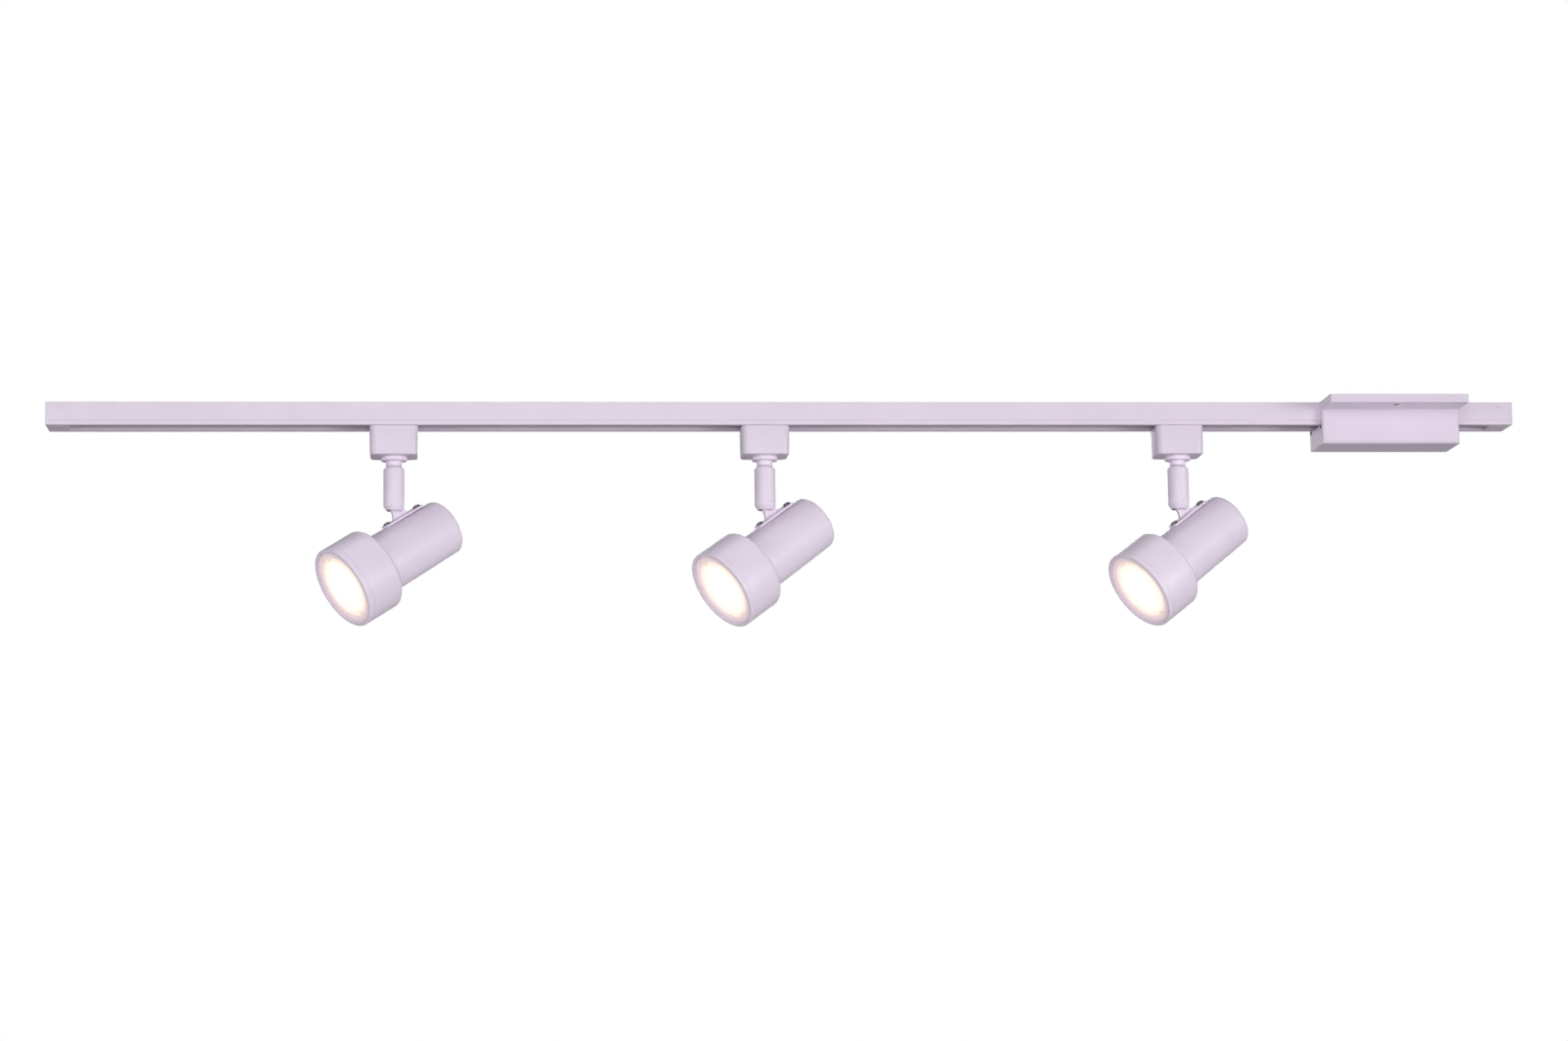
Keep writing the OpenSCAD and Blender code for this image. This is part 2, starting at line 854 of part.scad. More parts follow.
module barrel(n) {
    color("whitesmoke")
        on_pivot(n)
            difference() {
                lamp_turned()
                    difference() {
                        union() {
                            polygon([
                                [0, flange_depth[0]], [barrel_front_r, flange_depth[0]],
                                [barrel_front_r, cup_len],
                                [barrel_r_at(lamp_len - barrel_end_r), lamp_len - barrel_end_r],
                                [0, lamp_len - barrel_end_r]]);
                            rect([0, lamp_len - barrel_end_r - 1],
                                 [barrel_back_r - barrel_end_r, lamp_len]);
                            translate([barrel_back_r - barrel_end_r, lamp_len - barrel_end_r])
                                intersection() {
                                    circle(barrel_end_r, $fn = 48);
                                    square(barrel_end_r + 1);
                                }
                            rect([0, flange_depth[0]], [barrel_flange_r, flange_depth[1]]);
                        }
                        polygon([
                            [-1, flange_depth[0] - 1], [barrel_in_r, flange_depth[0] - 1],
                            [barrel_in_r, cup_len],
                            [barrel_back_r - lamp_wall, lamp_len - 2*barrel_end_r],
                            [barrel_back_r - barrel_end_r, lamp_len - lamp_wall],
                            [-1, lamp_len - lamp_wall]]);
                    }
                screw_places()
                    translate([0, 0, -shank_len - 1])
                        cylinder(r = screw_r + screw_fit, h = shank_len + 1, $fn = 32);
            }
}

module front_cup(n) {
    color("whitesmoke")
        on_pivot(n)
            lamp_turned()
                difference() {
                    union() {
                        rect([barrel_front_r, rim_edge], [cup_r, cup_len - shoulder_r]);
                        rect([barrel_front_r, 0], [cup_r - rim_edge, cup_len]);
                        translate([cup_r - rim_edge, rim_edge])
                            circle(rim_edge, $fn = 32);
                        translate([shoulder_in_r, cup_len - shoulder_r])
                            circle(shoulder_r, $fn = 48);
                    }
                    translate([shoulder_in_r, cup_len - shoulder_r])
                        difference() {
                            square(shoulder_r + 1);
                            circle(shoulder_r, $fn = 48);
                        }
                    rect([0, rim_t], [cup_in_r, cup_len - shoulder_r]);
                    rect([0, rim_t], [shoulder_in_r, cup_len - cup_wall]);
                    rect([0, -1], [rim_r, rim_t + 1]);
                    rect([0, -1], [barrel_front_r + run_gap, cup_len + 1]);
                    rect([cup_r - line_d, line_depth[0]], [cup_r + 1, line_depth[1]]);
                }
}

module retaining_ring(n) {
    color("whitesmoke")
        on_pivot(n)
            lamp_turned()
                polygon([
                    [ring_r, lens_depth + 0.6],
                    [ring_r + 0.15*(ring_lip_r - ring_r), lens_depth],
                    [ring_lip_r, lens_depth - 0.4], [ring_lip_r, rim_t],
                    [ring_out_r, rim_t], [ring_out_r, rim_t + ring_t],
                    [ring_r, rim_t + ring_t]]);
}

// The reflector's outside outline, or with an inset its hollow
module bulb_outline(inset) {
    waist = body_end - 14;
    start = lens_back - (inset > 0 ? 1 : 0);
    polygon([
        [0, start], [bulb_r - inset, start], [bulb_r - inset, lens_back + 2],
        [bulb_r - 2 - inset, lens_depth + 12], [bulb_neck_r + 1 - 5*inset, waist - inset],
        [0, waist - inset]]);
}

module bulb(n) {
    color("gainsboro")
        on_pivot(n) {
            lamp_turned()
                difference() {
                    union() {
                        bulb_outline(0);
                        polygon([
                            [0, body_end - 15], [bulb_neck_r, body_end - 15],
                            [bulb_neck_r, body_end - 1], [bulb_neck_r - 1, body_end],
                            [0, body_end]]);
                    }
                    bulb_outline(bulb_wall);
                }
            pin_places()
                cylinder(r = pin_r, h = pin_len - 0.5, $fn = 32);
            pin_places()
                translate([0, 0, pin_len - 3])
                    cylinder(r = pin_head_r, h = 3, $fn = 32);
        }
}

// The two twist-lock pins' places on the back of the lamp
module pin_places() {
    translate([body_end - pivot_depth, 0, -pivot_rise])
        rotate([0, 90, 0])
            for (s = [-1, 1])
                translate([0, s*pin_gap/2, 0])
                    children();
}

module bulb_lens(n) {
    color("lightyellow")
        on_pivot(n)
            lamp_turned()
                polygon([
                    [0, lens_depth], [bulb_r - lens_edge, lens_depth],
                    [bulb_r, lens_depth + lens_edge], [bulb_r, lens_back],
                    [0, lens_back]]);
}

module lamp_holder(n) {
    color("ivory")
        on_pivot(n)
            difference() {
                lamp_turned()
                    polygon([
                        [0, body_end], [holder_r - holder_edge, body_end],
                        [holder_r, body_end + holder_edge], [holder_r, holder_end],
                        [0, holder_end]]);
                pin_places()
                    translate([0, 0, -0.1])
                        cylinder(r = pin_head_r + pin_fit, h = pin_len + 1, $fn = 32);
            }
}

module holder_strap(n) {
    color("silver")
        on_pivot(n)
            difference() {
                union() {
                    at_depth(plate_from, strap_top)
                        block([0, -plate_w/2, -strap_t], [plate_len, plate_w/2, 0]);
                    at_depth(holder_end, strap_top)
                        block([0, -plate_w/2, -strap_top - strap_drop],
                              [strap_t, plate_w/2, 0]);
                }
                screw_places()
                    translate([0, 0, -shank_len - 1])
                        cylinder(r = screw_r, h = shank_len + 2, $fn = 32);
            }
}

// ------------------------------------------------------------------ nodes

track_channel();
track_insulators();
bus_bars();
ground_bar();
end_cap_left();
end_cap_right();
end_cap_screws();
canopy_cover();
feed_block();
feed_contacts();
feed_screws();
feed_lead_live();
feed_lead_neutral();
feed_lead_ground();

adapter_case(0);  // adapter_case_1
adapter_turret(0);  // adapter_turret_1
adapter_contacts(0);  // adapter_contacts_1
swivel_collar(0);  // swivel_collar_1
stem(0);  // stem_1
pivot_pin(0);  // pivot_pin_1
tilt_bracket(0);  // tilt_bracket_1
bracket_screws(0);  // bracket_screws_1
barrel(0);  // barrel_1
front_cup(0);  // front_cup_1
retaining_ring(0);  // retaining_ring_1
bulb(0);  // bulb_1
bulb_lens(0);  // bulb_lens_1
lamp_holder(0);  // lamp_holder_1
holder_strap(0);  // holder_strap_1

adapter_case(1);  // adapter_case_2
adapter_turret(1);  // adapter_turret_2
adapter_contacts(1);  // adapter_contacts_2
swivel_collar(1);  // swivel_collar_2
stem(1);  // stem_2
pivot_pin(1);  // pivot_pin_2
tilt_bracket(1);  // tilt_bracket_2
bracket_screws(1);  // bracket_screws_2
barrel(1);  // barrel_2
front_cup(1);  // front_cup_2
retaining_ring(1);  // retaining_ring_2
bulb(1);  // bulb_2
bulb_lens(1);  // bulb_lens_2
lamp_holder(1);  // lamp_holder_2
holder_strap(1);  // holder_strap_2

adapter_case(2);  // adapter_case_3
adapter_turret(2);  // adapter_turret_3
adapter_contacts(2);  // adapter_contacts_3
swivel_collar(2);  // swivel_collar_3
stem(2);  // stem_3
pivot_pin(2);  // pivot_pin_3
tilt_bracket(2);  // tilt_bracket_3
bracket_screws(2);  // bracket_screws_3
barrel(2);  // barrel_3
front_cup(2);  // front_cup_3
retaining_ring(2);  // retaining_ring_3
bulb(2);  // bulb_3
bulb_lens(2);  // bulb_lens_3
lamp_holder(2);  // lamp_holder_3
holder_strap(2);  // holder_strap_3
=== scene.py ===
import json
import math

import bmesh
import bpy
import numpy as np
from mathutils import Matrix, Vector


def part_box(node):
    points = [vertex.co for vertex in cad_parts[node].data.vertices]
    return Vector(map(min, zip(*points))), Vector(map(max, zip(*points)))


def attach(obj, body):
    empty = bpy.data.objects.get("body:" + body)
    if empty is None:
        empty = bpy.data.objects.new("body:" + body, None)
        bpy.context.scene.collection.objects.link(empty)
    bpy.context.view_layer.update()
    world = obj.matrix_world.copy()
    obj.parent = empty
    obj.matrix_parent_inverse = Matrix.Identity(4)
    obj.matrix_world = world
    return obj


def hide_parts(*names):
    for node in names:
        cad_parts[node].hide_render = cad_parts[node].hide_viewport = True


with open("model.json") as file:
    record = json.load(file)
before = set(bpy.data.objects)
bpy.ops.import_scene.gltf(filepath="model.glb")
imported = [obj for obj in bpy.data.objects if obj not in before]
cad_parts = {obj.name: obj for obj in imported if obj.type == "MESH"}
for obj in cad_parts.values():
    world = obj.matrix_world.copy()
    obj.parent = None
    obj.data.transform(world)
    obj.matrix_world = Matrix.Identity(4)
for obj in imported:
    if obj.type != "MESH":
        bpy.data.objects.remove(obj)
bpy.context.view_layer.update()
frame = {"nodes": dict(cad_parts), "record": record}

mm = 0.001


# ---------------------------------------------------------------- studio
# A pale room: the track hangs 2.4 m above a plain floor, among large soft lights
# in front, to both sides, behind and above, with a little light all round.

def look_along(heading, pitch, roll):
    """Axes of a camera turned by heading to the right of +Y, raised by pitch and
    then rolled about its own line of sight, as a 3x3 rotation."""
    ahead = Vector((math.sin(heading)*math.cos(pitch),
                    math.cos(heading)*math.cos(pitch), math.sin(pitch)))
    level = Vector((math.cos(heading), -math.sin(heading), 0))
    above = level.cross(ahead)
    right = level*math.cos(roll) + above*math.sin(roll)
    return Matrix((right, right.cross(ahead), -ahead)).transposed()


camera = bpy.data.objects.new("camera", bpy.data.cameras.new("camera"))
bpy.context.collection.objects.link(camera)
camera.data.lens = 85.94
camera.data.sensor_width = 36
camera.data.clip_end = 60
camera.matrix_world = Matrix.Translation((-0.2776, -3.0563, -0.5558)) @ look_along(
    math.radians(5.08), math.radians(8.51), math.radians(-0.88)).to_4x4()
bpy.context.scene.camera = camera
bpy.context.scene.view_settings.view_transform = "Standard"


def soft_light(name, place, size, power):
    """A square soft light of the given side, facing the track's middle, with
    its beam narrowed so that a low one passes above the floor."""
    lamp = bpy.data.lights.new(name, "AREA")
    lamp.size = size
    lamp.energy = power
    lamp.spread = math.radians(50)
    holder = bpy.data.objects.new(name, lamp)
    holder.location = place
    way = Vector((0, 0, -0.05)) - Vector(place)
    holder.rotation_euler = way.to_track_quat("-Z", "Y").to_euler()
    bpy.context.collection.objects.link(holder)


soft_light("key_light", (-0.9, -6.0, 0.5), 3.0, 10)
soft_light("low_light", (0.5, -5.4, -1.7), 3.0, 3)
soft_light("right_light", (4.6, -4.2, -0.6), 2.5, 16)
soft_light("left_light", (-5.0, -3.2, -0.2), 2.5, 8)
soft_light("back_light", (0.8, 5.2, 1.2), 3.0, 14)
soft_light("top_light", (0, 0.3, 4.2), 5.0, 18)

room = bpy.data.worlds.new("room")
bpy.context.scene.world = room
room.use_nodes = True
tree = room.node_tree
tree.nodes.clear()
seen = tree.nodes.new("ShaderNodeBackground")
seen.inputs["Color"].default_value = (1, 1, 1, 1)
seen.inputs["Strength"].default_value = 1.0
around = tree.nodes.new("ShaderNodeBackground")
around.inputs["Color"].default_value = (0.97, 0.96, 1.0, 1)
around.inputs["Strength"].default_value = 0.14
rays = tree.nodes.new("ShaderNodeLightPath")
choose = tree.nodes.new("ShaderNodeMixShader")
out = tree.nodes.new("ShaderNodeOutputWorld")
tree.links.new(rays.outputs["Is Camera Ray"], choose.inputs[0])
tree.links.new(around.outputs[0], choose.inputs[1])
tree.links.new(seen.outputs[0], choose.inputs[2])
tree.links.new(choose.outputs[0], out.inputs["Surface"])


def new_material(name, colour, roughness, metallic=0.0, **sockets):
    """A material with one Principled shader; further sockets are set by name."""
    material = bpy.data.materials.new(name)
    material.use_nodes = True
    shader = material.node_tree.nodes["Principled BSDF"]
    shader.inputs["Base Color"].default_value = (*colour, 1)
    shader.inputs["Roughness"].default_value = roughness
    shader.inputs["Metallic"].default_value = metallic
    for socket, value in sockets.items():
        shader.inputs[socket.replace("_", " ")].default_value = value
    return material


def seen_from_front(material):
    """Makes a one-sided surface clear when it is looked at from behind."""
    nodes, link = material.node_tree.nodes, material.node_tree.links.new
    facing = nodes.new("ShaderNodeNewGeometry")
    clear = nodes.new("ShaderNodeBsdfTransparent")
    either = nodes.new("ShaderNodeMixShader")
    link(facing.outputs["Backfacing"], either.inputs[0])
    link(nodes["Principled BSDF"].outputs[0], either.inputs[1])
    link(clear.outputs[0], either.inputs[2])
    link(either.outputs[0], nodes["Material Output"].inputs["Surface"])


floor_z, floor_half = -2.4, 1.8
floor_mesh = bpy.data.meshes.new("floor")
floor_mesh.from_pydata([(x*floor_half, y*floor_half, floor_z)
                        for x, y in ((-1, -1), (1, -1), (1, 1), (-1, 1))],
                       [], [(0, 1, 2, 3)])
floor = bpy.data.objects.new("floor", floor_mesh)
pale_floor = new_material("pale_floor", (0.86, 0.85, 0.85), 0.9,
                          Emission_Color=(1, 1, 1, 1), Emission_Strength=0.28)
seen_from_front(pale_floor)
floor_mesh.materials.append(pale_floor)
bpy.context.collection.objects.link(floor)


# --------------------------------------------------------- track channel
# The track is an extruded channel with a satin white powder coat: a fine
# orange-peel skin, very slightly uneven in tone.

def make_group(name, numbers, outputs, build):
    """A shader node group with a Vector input, number inputs with defaults, and
    outputs given as {name: socket type}. build(nodes, link, inputs) returns
    {output name: socket}."""
    group = bpy.data.node_groups.new(name, "ShaderNodeTree")
    group.interface.new_socket("Vector", in_out="INPUT", socket_type="NodeSocketVector")
    for socket, value in numbers.items():
        made = group.interface.new_socket(socket, in_out="INPUT",
                                          socket_type="NodeSocketFloat")
        made.default_value = value
    for socket, kind in outputs.items():
        group.interface.new_socket(socket, in_out="OUTPUT", socket_type=kind)
    start = group.nodes.new("NodeGroupInput")
    end = group.nodes.new("NodeGroupOutput")
    made = build(group.nodes, group.links.new, start.outputs)
    for socket, source in made.items():
        group.links.new(source, end.inputs[socket])
    return group


def noise(nodes, link, vector, scale, detail=2.0, roughness=0.5):
    """A noise texture on vector; scale is a number or a socket. Its value."""
    made = nodes.new("ShaderNodeTexNoise")
    made.inputs["Detail"].default_value = detail
    made.inputs["Roughness"].default_value = roughness
    link(vector, made.inputs["Vector"])
    if isinstance(scale, (int, float)):
        made.inputs["Scale"].default_value = scale
    else:
        link(scale, made.inputs["Scale"])
    return made.outputs["Fac"]


def arithmetic(nodes, link, operation, a, b):
    """One Math node on two sockets or numbers. Its value."""
    made = nodes.new("ShaderNodeMath")
    made.operation = operation
    for socket, value in zip(made.inputs, (a, b)):
        if isinstance(value, (int, float)):
            socket.default_value = value
        else:
            link(value, socket)
    return made.outputs[0]


def spread(nodes, link, value, low, high, to_low=0.0, to_high=1.0):
    """Maps a value from one range onto another, clamped. Its value."""
    made = nodes.new("ShaderNodeMapRange")
    link(value, made.inputs["Value"])
    made.inputs["From Min"].default_value = low
    made.inputs["From Max"].default_value = high
    made.inputs["To Min"].default_value = to_low
    made.inputs["To Max"].default_value = to_high
    return made.outputs["Result"]


def build_skin(nodes, link, given):
    """Height is fine noise at Grain per metre with a coarser swell under it;
    Tone is slow noise; Wipe is streaky noise for uneven gloss."""
    fine = noise(nodes, link, given["Vector"], given["Grain"], 3.0)
    swell = noise(nodes, link, given["Vector"],
                  arithmetic(nodes, link, "MULTIPLY", given["Grain"], 0.31), 1.0)
    height = arithmetic(nodes, link, "ADD", fine,
                        arithmetic(nodes, link, "MULTIPLY", swell, 1.4))
    slow = noise(nodes, link, given["Vector"], 23.0, 3.0, 0.6)
    wipe = noise(nodes, link, given["Vector"], 140.0, 4.0, 0.65)
    return {"Height": height,
            "Tone": spread(nodes, link, slow, 0.3, 0.7),
            "Wipe": spread(nodes, link, wipe, 0.35, 0.7)}


FLOAT = "NodeSocketFloat"
skin = make_group("coat_skin", {"Grain": 900.0},
                  {"Height": FLOAT, "Tone": FLOAT, "Wipe": FLOAT}, build_skin)


def put_group(material, group, **values):
    """Places a group in a material on Object coordinates, with its own values."""
    nodes, link = material.node_tree.nodes, material.node_tree.links.new
    placed = nodes.new("ShaderNodeGroup")
    placed.node_tree = group
    where = nodes.new("ShaderNodeTexCoord")
    link(where.outputs["Object"], placed.inputs["Vector"])
    for socket, value in values.items():
        placed.inputs[socket].default_value = value
    return placed.outputs


def two_tone(material, mask, first, second):
    """Base Color goes from the first colour to the second with the mask."""
    nodes, link = material.node_tree.nodes, material.node_tree.links.new
    mix = nodes.new("ShaderNodeMix")
    mix.data_type = "RGBA"
    mix.inputs["A"].default_value = (*first, 1)
    mix.inputs["B"].default_value = (*second, 1)
    link(mask, mix.inputs["Factor"])
    link(mix.outputs["Result"], nodes["Principled BSDF"].inputs["Base Color"])


def two_gloss(material, mask, low, high):
    """Roughness goes from low to high with the mask."""
    nodes, link = material.node_tree.nodes, material.node_tree.links.new
    link(spread(nodes, link, mask, 0, 1, low, high),
         nodes["Principled BSDF"].inputs["Roughness"])


def relief(material, height, depth):
    """Bumps the surface by height times depth, in metres."""
    nodes, link = material.node_tree.nodes, material.node_tree.links.new
    bump = nodes.new("ShaderNodeBump")
    bump.inputs["Distance"].default_value = depth
    bump.inputs["Strength"].default_value = 1.0
    link(height, bump.inputs["Height"])
    link(bump.outputs["Normal"], nodes["Principled BSDF"].inputs["Normal"])


def coated(name, first, second, grain, depth, low, high):
    """A coated or moulded white surface on the coat_skin group."""
    material = new_material(name, first, low)
    made = put_group(material, skin, Grain=grain)
    two_tone(material, made["Tone"], first, second)
    two_gloss(material, made["Wipe"], low, high)
    relief(material, made["Height"], depth)
    return material


powder_white = coated("powder_white", (0.83, 0.735, 0.86), (0.79, 0.70, 0.825),
                      950.0, 0.012*mm, 0.38, 0.50)


def dress(thing, material):
    """Gives a mesh object this one material."""
    thing.data.materials.clear()
    thing.data.materials.append(material)


def add_piece(name, mesh, body, material, node):
    """Links a finished mesh as a piece that rides on body and replaces node."""
    piece = bpy.data.objects.new(name, mesh)
    bpy.context.collection.objects.link(piece)
    dress(piece, material)
    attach(piece, body)
    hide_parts(node)
    return piece


def smooth_to(mesh, angle=32):
    """Smooth shading, with edges sharper than angle degrees kept crisp."""
    mesh.shade_smooth()
    mesh.set_sharp_from_angle(angle=math.radians(angle))


def machined_copy(name, node, body, material, break_edge):
    """The node's own shape with its triangles merged into whole faces and every
    sharp edge broken by a small round of the given width."""
    source = frame["nodes"][node]
    work = bmesh.new()
    work.from_mesh(source.data)
    bmesh.ops.remove_doubles(work, verts=work.verts, dist=0.002*mm)
    bmesh.ops.dissolve_limit(work, angle_limit=math.radians(0.5), verts=work.verts,
                             edges=work.edges)
    mesh = bpy.data.meshes.new(name)
    work.to_mesh(mesh)
    work.free()
    smooth_to(mesh)
    piece = add_piece(name, mesh, body, material, node)
    bevel = piece.modifiers.new("broken_edges", "BEVEL")
    bevel.limit_method = "ANGLE"
    bevel.angle_limit = math.radians(32)
    bevel.width = break_edge
    bevel.segments = 2
    bevel.harden_normals = True
    return piece


machined_copy("channel", "track_channel", "track", powder_white, 0.25*mm)


# ------------------------------------------ insulating strips and copper
# Two grey extruded strips line the channel and grip drawn copper bars; a flat
# copper strip under the top web carries the earth. The copper has dulled.

def build_drawn(nodes, link, given):
    """Streaks that run along X: noise on a vector squeezed in X, plus spots."""
    squeeze = nodes.new("ShaderNodeMapping")
    squeeze.inputs["Scale"].default_value = (0.04, 1, 1)
    link(given["Vector"], squeeze.inputs["Vector"])
    streaks = noise(nodes, link, squeeze.outputs[0], given["Grain"], 4.0, 0.7)
    spots = noise(nodes, link, given["Vector"], 300.0, 3.0, 0.6)
    return {"Streaks": spread(nodes, link, streaks, 0.3, 0.7),
            "Tarnish": spread(nodes, link, spots, 0.48, 0.72)}


drawn = make_group("drawn_streaks", {"Grain": 2600.0},
                   {"Streaks": FLOAT, "Tarnish": FLOAT}, build_drawn)


def bare_metal(name, first, second, low, high, grain=2600.0, depth=0.004*mm):
    """Drawn or rolled bare metal, with streaks and spots of tarnish."""
    material = new_material(name, first, low, metallic=1.0)
    made = put_group(material, drawn, Grain=grain)
    two_tone(material, made["Tarnish"], first, second)
    two_gloss(material, made["Streaks"], low, high)
    relief(material, made["Streaks"], depth)
    return material


strip_grey = coated("strip_grey", (0.40, 0.40, 0.42), (0.36, 0.36, 0.38),
                    1600.0, 0.008*mm, 0.45, 0.6)
dull_copper = bare_metal("dull_copper", (0.80, 0.42, 0.27), (0.48, 0.25, 0.17), 0.25, 0.45)
dress(frame["nodes"]["track_insulators"], strip_grey)
dress(frame["nodes"]["bus_bars"], dull_copper)
dress(frame["nodes"]["ground_bar"], dull_copper)


# ---------------------------------------------------- end caps and screws
# Each end is closed by a moulded cap whose tongue fills the slot. A small
# slotted screw through the front wall holds it.

moulded_white = coated("moulded_white", (0.82, 0.725, 0.855), (0.79, 0.70, 0.83),
                       2100.0, 0.006*mm, 0.34, 0.44)
zinc = bare_metal("zinc", (0.63, 0.62, 0.62), (0.50, 0.48, 0.46), 0.25, 0.42, 1800.0)
for side in ("left", "right"):
    machined_copy(f"end_cap_{side}_moulding", f"end_cap_{side}", "track",
                  moulded_white, 0.3*mm)
machined_copy("cap_screws", "end_cap_screws", "track", powder_white, 0.12*mm)


# ---------------------------------------------------------------- canopy
# A one-piece moulding over the power feed: a square tray against the ceiling
# and a deep box across it, notched over the track with a relief in each corner.
# It is white; its inside, its screw holes and its relief walls are coloured near black as
# painted shade.

def paint_shade_inside(piece, material, inside):
    """Gives the faces whose centres pass the test a second material, which here paints
    shade into hollows.
    """
    mesh = piece.data
    centres = np.empty(len(mesh.polygons)*3)
    mesh.polygons.foreach_get("center", centres)
    mesh.materials.append(material)
    chosen = inside(*centres.reshape(-1, 3).T)
    mesh.polygons.foreach_set("material_index", chosen.astype(np.int32))


canopy = machined_copy("canopy_moulding", "canopy_cover", "track",
                       moulded_white, 0.45*mm)
canopy_low, canopy_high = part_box("canopy_cover")
canopy_x = (canopy_low[0] + canopy_high[0])/2
canopy_half_l, canopy_half_d = (canopy_high[0] - canopy_low[0])/2, canopy_high[1]
box_half_d, plate_edge, skin_depth = 24.25*mm, 7*mm, 1.5*mm
relief_y, relief_z, relief_reach = 17.95*mm, -19.5*mm, 3.4*mm


def inside_canopy(x, y, z):
    """More than skin_depth within the canopy's outer form, or in a relief."""
    plate = (np.abs(y) < canopy_half_d - skin_depth) & (z > skin_depth - plate_edge)
    deep = (np.abs(y) < box_half_d - skin_depth) & (z > canopy_low[2] + skin_depth)
    within = (np.abs(x - canopy_x) < canopy_half_l - skin_depth) & (plate | deep)
    relief_wall = ((np.hypot(np.abs(y) - relief_y, z - relief_z) < relief_reach)
                   & (np.abs(x - canopy_x) < canopy_half_l - 0.5*mm))
    return within | relief_wall


# This near-black colour is painted shade for the canopy's inside, holes and relief walls.
painted_shade_plastic = coated("painted_shade_plastic", (0.10, 0.095, 0.10), (0.08, 0.076, 0.08),
                      1500.0, 0.012*mm, 0.5, 0.65)
paint_shade_inside(canopy, painted_shade_plastic, inside_canopy)


# ------------------------------------------------------------ power feed
# A black moulded block stands in the slot under the canopy. Brass blades bear
# on the copper, and plated screws clamp the three leads into its front.

moulded_black = coated("moulded_black", (0.030, 0.030, 0.034), (0.045, 0.044, 0.048),
                       1800.0, 0.010*mm, 0.40, 0.55)
rolled_brass = bare_metal("rolled_brass", (0.80, 0.58, 0.26), (0.58, 0.38, 0.16), 0.22, 0.4)
dress(frame["nodes"]["feed_block"], moulded_black)
dress(frame["nodes"]["feed_contacts"], rolled_brass)
machined_copy("terminal_screws", "feed_screws", "track", zinc, 0.1*mm)


# ----------------------------------------------------------------- leads
# Three short single wires with a smooth plastic skin, pushed into the block,
# led up beside the track and folded into the tray. Each is cut off square.

lead_r = 1.2*mm
feed_low, feed_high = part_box("feed_block")
feed_x = (feed_low[0] + feed_high[0])/2
tray_z = -3.6*mm
lead_out = 19.85*mm
block_front = feed_low[1]
# The block's body is level with the adapters' tops; its holes are a third up it.
block_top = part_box("adapter_case_1")[1][2]
hole_z = feed_low[2] + (block_top - feed_low[2])/3


def through(points, steps):
    """A smooth curve through the points: between two of them each place is the
    cubic that leaves and arrives in line with their neighbours."""
    p = np.array(points, float)
    p = np.vstack([p[:1], p, p[-1:]])
    t = np.linspace(0, 1, steps, endpoint=False)[:, None]
    parts = [0.5*(2*p[i] + (p[i + 1] - p[i - 1])*t
                  + (2*p[i - 1] - 5*p[i] + 4*p[i + 1] - p[i + 2])*t**2
                  + (3*p[i] - p[i - 1] - 3*p[i + 1] + p[i + 2])*t**3)
             for i in range(1, len(p) - 2)]
    return np.vstack(parts + [p[-1:]])


def surface(name, grid, wrap_rows=False, close_ends=False):
    """A mesh over a grid of points. Columns run round the shape and close on the
    first one. Rows run along it, and may close too, or each end gets a flat face.
    Rows that shrink to a point are merged there."""
    rows, columns = grid.shape[:2]
    index = np.arange(rows*columns).reshape(rows, columns)
    if wrap_rows:
        index = np.vstack([index, index[:1]])
    index = np.hstack([index, index[:, :1]])
    quads = np.stack([index[:-1, :-1], index[1:, :-1], index[1:, 1:], index[:-1, 1:]], -1)
    faces = quads.reshape(-1, 4).tolist()
    if close_ends:
        faces.append(tuple(range(columns))[::-1])
        faces.append(tuple(range((rows - 1)*columns, rows*columns)))
    mesh = bpy.data.meshes.new(name)
    mesh.from_pydata(grid.reshape(-1, 3).tolist(), [], faces)
    work = bmesh.new()
    work.from_mesh(mesh)
    bmesh.ops.remove_doubles(work, verts=work.verts, dist=0.001*mm)
    bmesh.ops.recalc_face_normals(work, faces=work.faces)
    work.to_mesh(mesh)
    work.free()
    smooth_to(mesh)
    return mesh


def round_tube(name, path, radii, sides=16):
    """A round section of the given radii carried along a path: each ring stands
    square to the path, turned from a fixed side direction."""
    way = np.gradient(path, axis=0)
    way /= np.linalg.norm(way, axis=1)[:, None]
    side = np.cross(way, (0.31, 0.17, 0.93))
    side /= np.linalg.norm(side, axis=1)[:, None]
    up = np.cross(side, way)
    turn = np.linspace(0, 2*math.pi, sides, endpoint=False)[:, None]
    ring = side[:, None]*np.cos(turn) + up[:, None]*np.sin(turn)
    return surface(name, path[:, None] + ring*np.asarray(radii)[:, None, None],
                   close_ends=True)


def lead_route(x, way, reach):
    """Points of one lead: out of its hole, up beside the track, over into the
    tray and, where way isn't 0, along it."""
    rise = [(x, block_front + 6*mm, hole_z), (x, block_front, hole_z),
            (x, -lead_out + 0.4*mm, hole_z + 1.4*mm), (x, -lead_out, hole_z + 5*mm),
            (x, -lead_out, hole_z + 14*mm), (x, -lead_out - 0.6*mm, tray_z - 1.4*mm)]
    lie = [(x + way*along*mm, -lead_out - back*mm, tray_z) for along, back in reach]
    return rise + lie


def wire_skin(name, colour):
    """Extruded plastic insulation with a faint grain and uneven gloss."""
    return coated(name, colour, tuple(0.86*c for c in colour), 2400.0, 0.004*mm, 0.3, 0.42)


